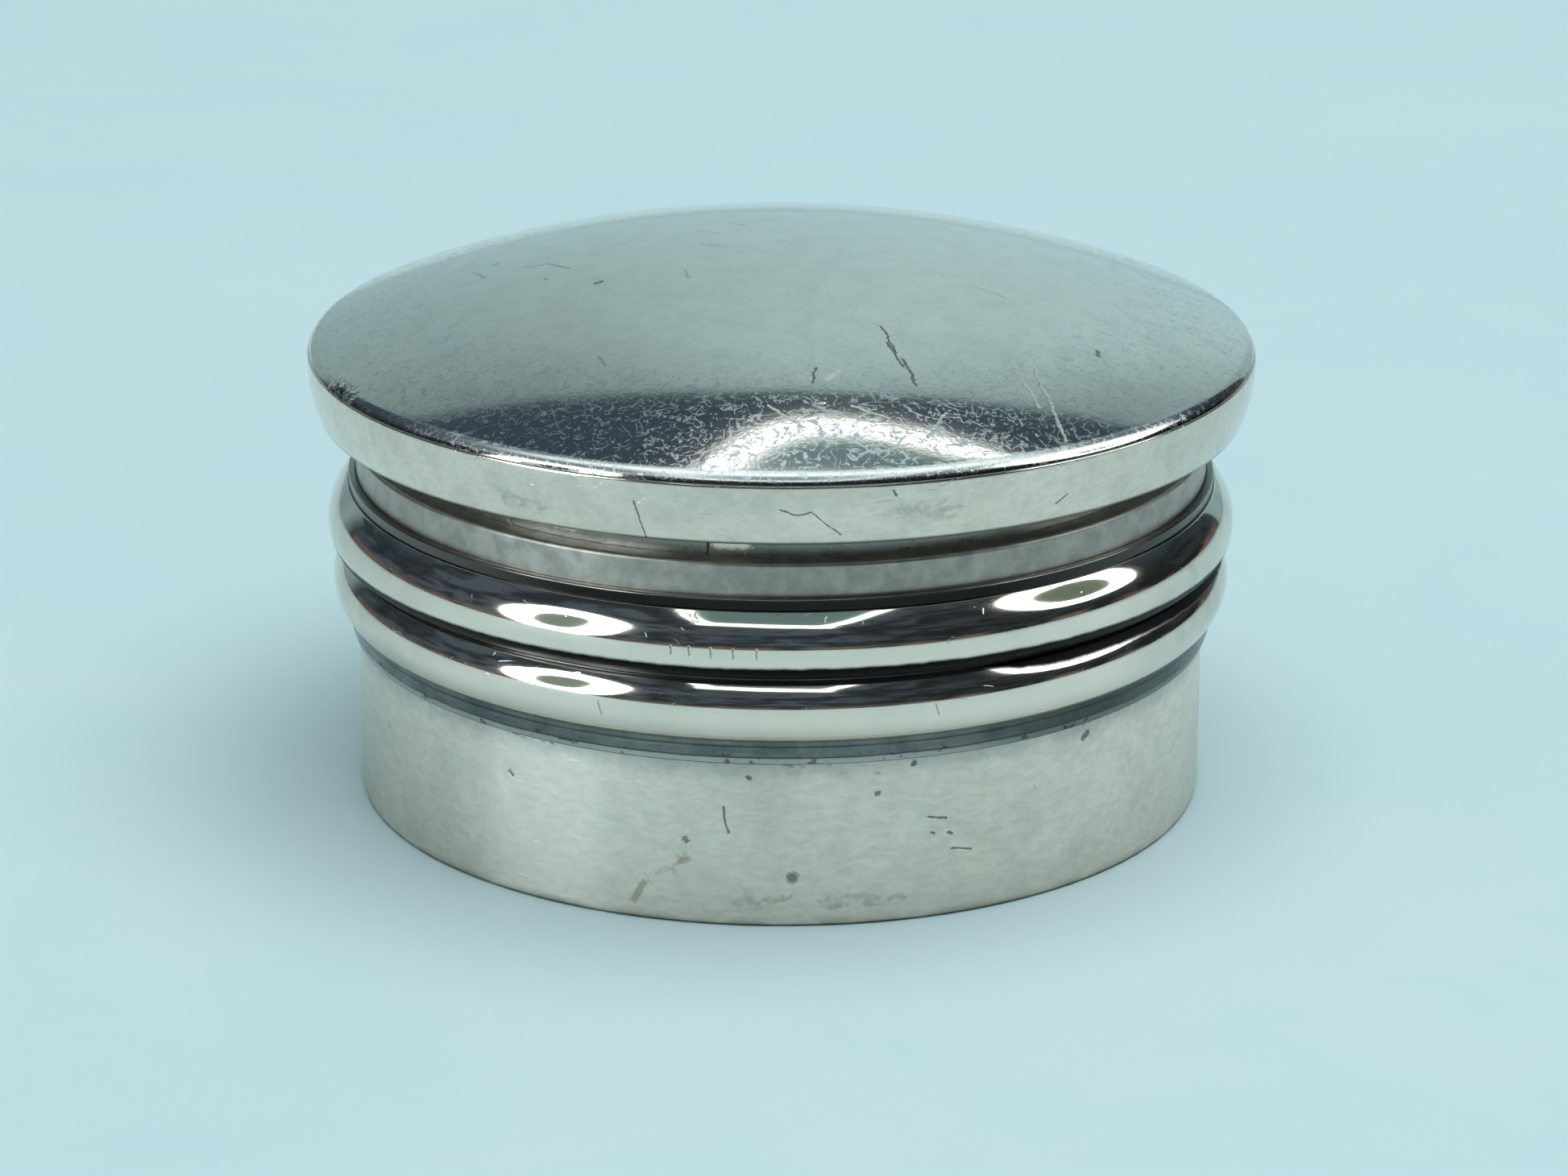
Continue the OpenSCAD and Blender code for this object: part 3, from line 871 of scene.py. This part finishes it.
# Far to the right the floor is painted darker: painted shade.
far_right_shade = ground.ease(ground.x, 50, 250, 0.0, 0.30)
floor_colour = ground.mix(ground.ease(streaks, 0.3, 0.7, 0.0, 1.0),
                          (0.515, 0.645, 0.685, 1), (0.55, 0.665, 0.70, 1))
floor_colour = ground.tint(floor_colour, (0.495, 0.64, 0.685, 1),
                           ground.ease(patches, 0.35, 0.75, 0.0, 0.5))
floor_colour = ground.tint(floor_colour, (0.1, 0.12, 0.12, 1), far_right_shade)
ground.put(ground.shader.inputs["Base Color"], floor_colour)
ground.put(ground.shader.inputs["Roughness"], ground.ease(patches, 0.3, 0.7, 0.62, 0.75))
ground.shader.inputs["Specular IOR Level"].default_value = 0.08
floor_corners = [(x * FLOOR_HALF, y * FLOOR_HALF, 0)
                 for x, y in ((-1, -1), (1, -1), (1, 1), (-1, 1))]
stage_mesh("floor", floor_corners, [(0, 1, 2, 3)], ground.material)

# The pale sheet behind the box ends in a bowed top edge, so the dome shows a dark crescent.
# Its sizes are shares of the distance to it.
SHEET_LEFT, SHEET_RIGHT = -1.05, 0.75
SHEET_TOP, SHEET_SIDE = 1.2, 0.36   # the top edge's height in the middle, and its least height
LEFT_BOW, RIGHT_BOW = 1.17, 0.9     # how fast the top edge falls to either side
SHEET_STEPS = 40
tent = Surface("tent_back_glow")
sideways = tent.math("DIVIDE", tent.x, FAR / MM)
upwards = tent.math("DIVIDE", tent.z, FAR / MM)
fade = tent.plus(upwards, tent.unsigned(sideways))
level = tent.times(tent.ease(sideways, -0.48, 0.16, 0.66, 1.07),
                   tent.ease(fade, 0.8, 1.5, 1.0, 0.76))
level = tent.times(level, tent.ease(sideways, 0.28, 0.50, 1.0, 0.72))
level = tent.times(level, tent.ease(sideways, -1.05, -0.75, 0.2, 1.0))
tent.show(tent.node("ShaderNodeEmission", Color=(*TENT, 1), Strength=level))
sheet = [(SHEET_LEFT, -0.001), (SHEET_RIGHT, -0.001)]
for step in range(SHEET_STEPS + 1):
    across = SHEET_RIGHT + (SHEET_LEFT - SHEET_RIGHT) * step / SHEET_STEPS
    bow = RIGHT_BOW if across > 0 else LEFT_BOW
    sheet.append((across, max(SHEET_SIDE, SHEET_TOP - bow * across ** 2)))
stage_mesh("tent_back", [(across * FAR, FAR, up * FAR) for across, up in sheet],
           [tuple(range(len(sheet)))], tent.material, False)

# The lamp over the box is turned a little, and its front edge has a second, plain bar below it.
OVERHEAD_TURN = math.radians(-9.2)
ceiling = Surface("overhead_panel_glow")
depth = ceiling.ease(ceiling.y, -0.9 * FAR / MM, 0.7 * FAR / MM)
ceiling_colour = ceiling.mix(depth, (0.13, 0.22, 0.24, 1), (0.11, 0.22, 0.27, 1))
ceiling.show(ceiling.node("ShaderNodeEmission", Color=ceiling_colour, Strength=1.0))
overhead_middle = Vector((0.053, -0.085, 1.0)) * FAR
overhead_across = Vector((math.cos(OVERHEAD_TURN), math.sin(OVERHEAD_TURN), 0))
overhead_up = Vector((-math.sin(OVERHEAD_TURN), math.cos(OVERHEAD_TURN), 0))
lamp("overhead", overhead_middle, overhead_across, overhead_up,
     (0.3175 * FAR, 0.785 * FAR, 0.055 * FAR), 2.8, ceiling.material, squareness=4.0, taper=0.18)
overhead_bar = [overhead_middle + overhead_across * (x * FAR) + overhead_up * (y * FAR)
                for x, y in ((-0.32, -0.775), (0.32, -0.775), (0.31, -0.66), (-0.31, -0.66))]
stage_mesh("overhead_front", [point - Vector((0, 0, 0.004)) for point in overhead_bar],
           [(0, 1, 2, 3)], glow("overhead_front_glow", LAMP_WHITE, 2.4), False)

# A soft oval of light, that only the lid's worn corner shows from where the camera stands.
oval = Surface("overhead_oval_glow")
place = oval.stretched(MM / (0.82 * FAR), MM / (0.36 * FAR), 0)
away = oval.vector("LENGTH", oval.vector("SUBTRACT", place, (0, 0.5, 0)))
oval_light = oval.node("ShaderNodeEmission", Color=(*LAMP_WHITE, 1), Strength=1.2)
clear = oval.node("ShaderNodeBsdfTransparent")
blend = oval.node("ShaderNodeMixShader", Fac=oval.ease(away, 0.55, 1.0, 1.0, 0.0))
oval.put(blend.inputs[1], clear.outputs[0])
oval.put(blend.inputs[2], oval_light.outputs[0])
oval.show(blend)
oval_corners = [(x * FAR, y * FAR, 0.98 * FAR)
                for x, y in ((-0.85, -0.2), (0.85, -0.2), (0.85, 0.56), (-0.85, 0.56))]
stage_mesh("overhead_oval", oval_corners, [(0, 1, 2, 3)], oval.material, False)

wall_lamp("left", azimuth=-57, elevation=21, half_width=16, half_height=22, thickness=9.3,
          strength=6.2, inside=glow("left_panel_glow", (0.20, 0.28, 0.26), 1.0))
wall_lamp("right", azimuth=89, elevation=36, half_width=17, half_height=17, thickness=7.5,
          strength=6.0, inside=glow("right_panel_glow", (0.14, 0.20, 0.16), 1.0))

# A large soft light that only shades: the metal doesn't show it, only the tent and the lamps.
soft = bpy.data.lights.new("soft_top", "AREA")
soft.shape = "DISK"
soft.size = 1.0
soft.energy = 8.45
soft.color = (0.95, 1.0, 1.0)
soft_top = bpy.data.objects.new("soft_top", soft)
soft_top.location = (0.14, -0.10, 0.9)
soft_top.rotation_euler = (-soft_top.location).to_track_quat("-Z", "Y").to_euler()
soft_top.visible_glossy = False
bpy.context.scene.collection.objects.link(soft_top)


class Sky(Surface):
    """The world behind the lamps, with the same short calls. Its place is a direction."""

    def __init__(self, name):
        world = bpy.data.worlds.new(name)
        bpy.context.scene.world = world
        world.use_nodes = True
        self.tree = world.node_tree
        self.place = self.node("ShaderNodeTexCoord").outputs["Generated"]
        self.x, self.y, self.z = self.node("ShaderNodeSeparateXYZ", Vector=self.place).outputs


# Beyond the tent the metal sees a dim room: blue high up behind, blotched in front, darker to the
# right and brown near the floor. The camera and the floor see one pale colour instead.
PALE = (0.255, 0.357, 0.3672, 1)
sky = Sky("room")
blotch = sky.ease(sky.noise(5.0, 4, 0.62, 0.8), 0.42, 0.60)
right = sky.ease(sky.x, 0.1, 0.8, 1.0, 0.35)
front = sky.mix(blotch, (0.024, 0.034, 0.044, 1), (0.07, 0.105, 0.14, 1))
front = sky.mix(right, (0.012, 0.013, 0.012, 1), front)
brown = sky.times(sky.ease(sky.z, 0.04, 0.14, 1.0, 0.0),
                  sky.ease(sky.noise(5.0, 2, 0.5), 0.38, 0.55))
front = sky.tint(front, (0.165, 0.13, 0.115, 1), brown)
behind = sky.times(sky.ease(sky.y, 0.25, 0.55), sky.ease(sky.z, 0.3, 0.5))
room = sky.tint(front, (0.038, 0.066, 0.100, 1), behind)
paths = sky.node("ShaderNodeLightPath").outputs
plain = sky.math("MAXIMUM", paths["Is Camera Ray"], paths["Is Diffuse Ray"])
background = sky.tree.nodes["Background"]
sky.put(background.inputs["Color"], sky.tint(room, PALE, plain))


# ---------------------------------------------------------------- camera

CAMERA_PIVOT = Vector((0, 0, 0.0096))           # where its distance and elevation are taken from
CAMERA_DISTANCE = 0.18343                       # metres
CAMERA_ELEVATION = 18.108                       # degrees
CAMERA_AIM = Vector((0.00012, 0, 0.00659))      # metres
CAMERA_ROLL = 0.0041                            # radians
FOCAL_LENGTH = 123.2                            # millimetres, on a 36 mm wide sensor
camera_place = CAMERA_PIVOT + toward(0, CAMERA_ELEVATION) * CAMERA_DISTANCE
lens = bpy.data.cameras.new("camera")
lens.sensor_width = 36.0
lens.lens = FOCAL_LENGTH
lens.clip_start = 0.01
camera = bpy.data.objects.new("camera", lens)
turn = (CAMERA_AIM - camera_place).to_track_quat("-Z", "Y").to_matrix().to_4x4()
roll = Matrix.Rotation(CAMERA_ROLL, 4, "Z")
camera.matrix_world = Matrix.Translation(camera_place) @ turn @ roll
bpy.context.scene.collection.objects.link(camera)
bpy.context.scene.camera = camera
bpy.context.scene.view_settings.view_transform = "Standard"
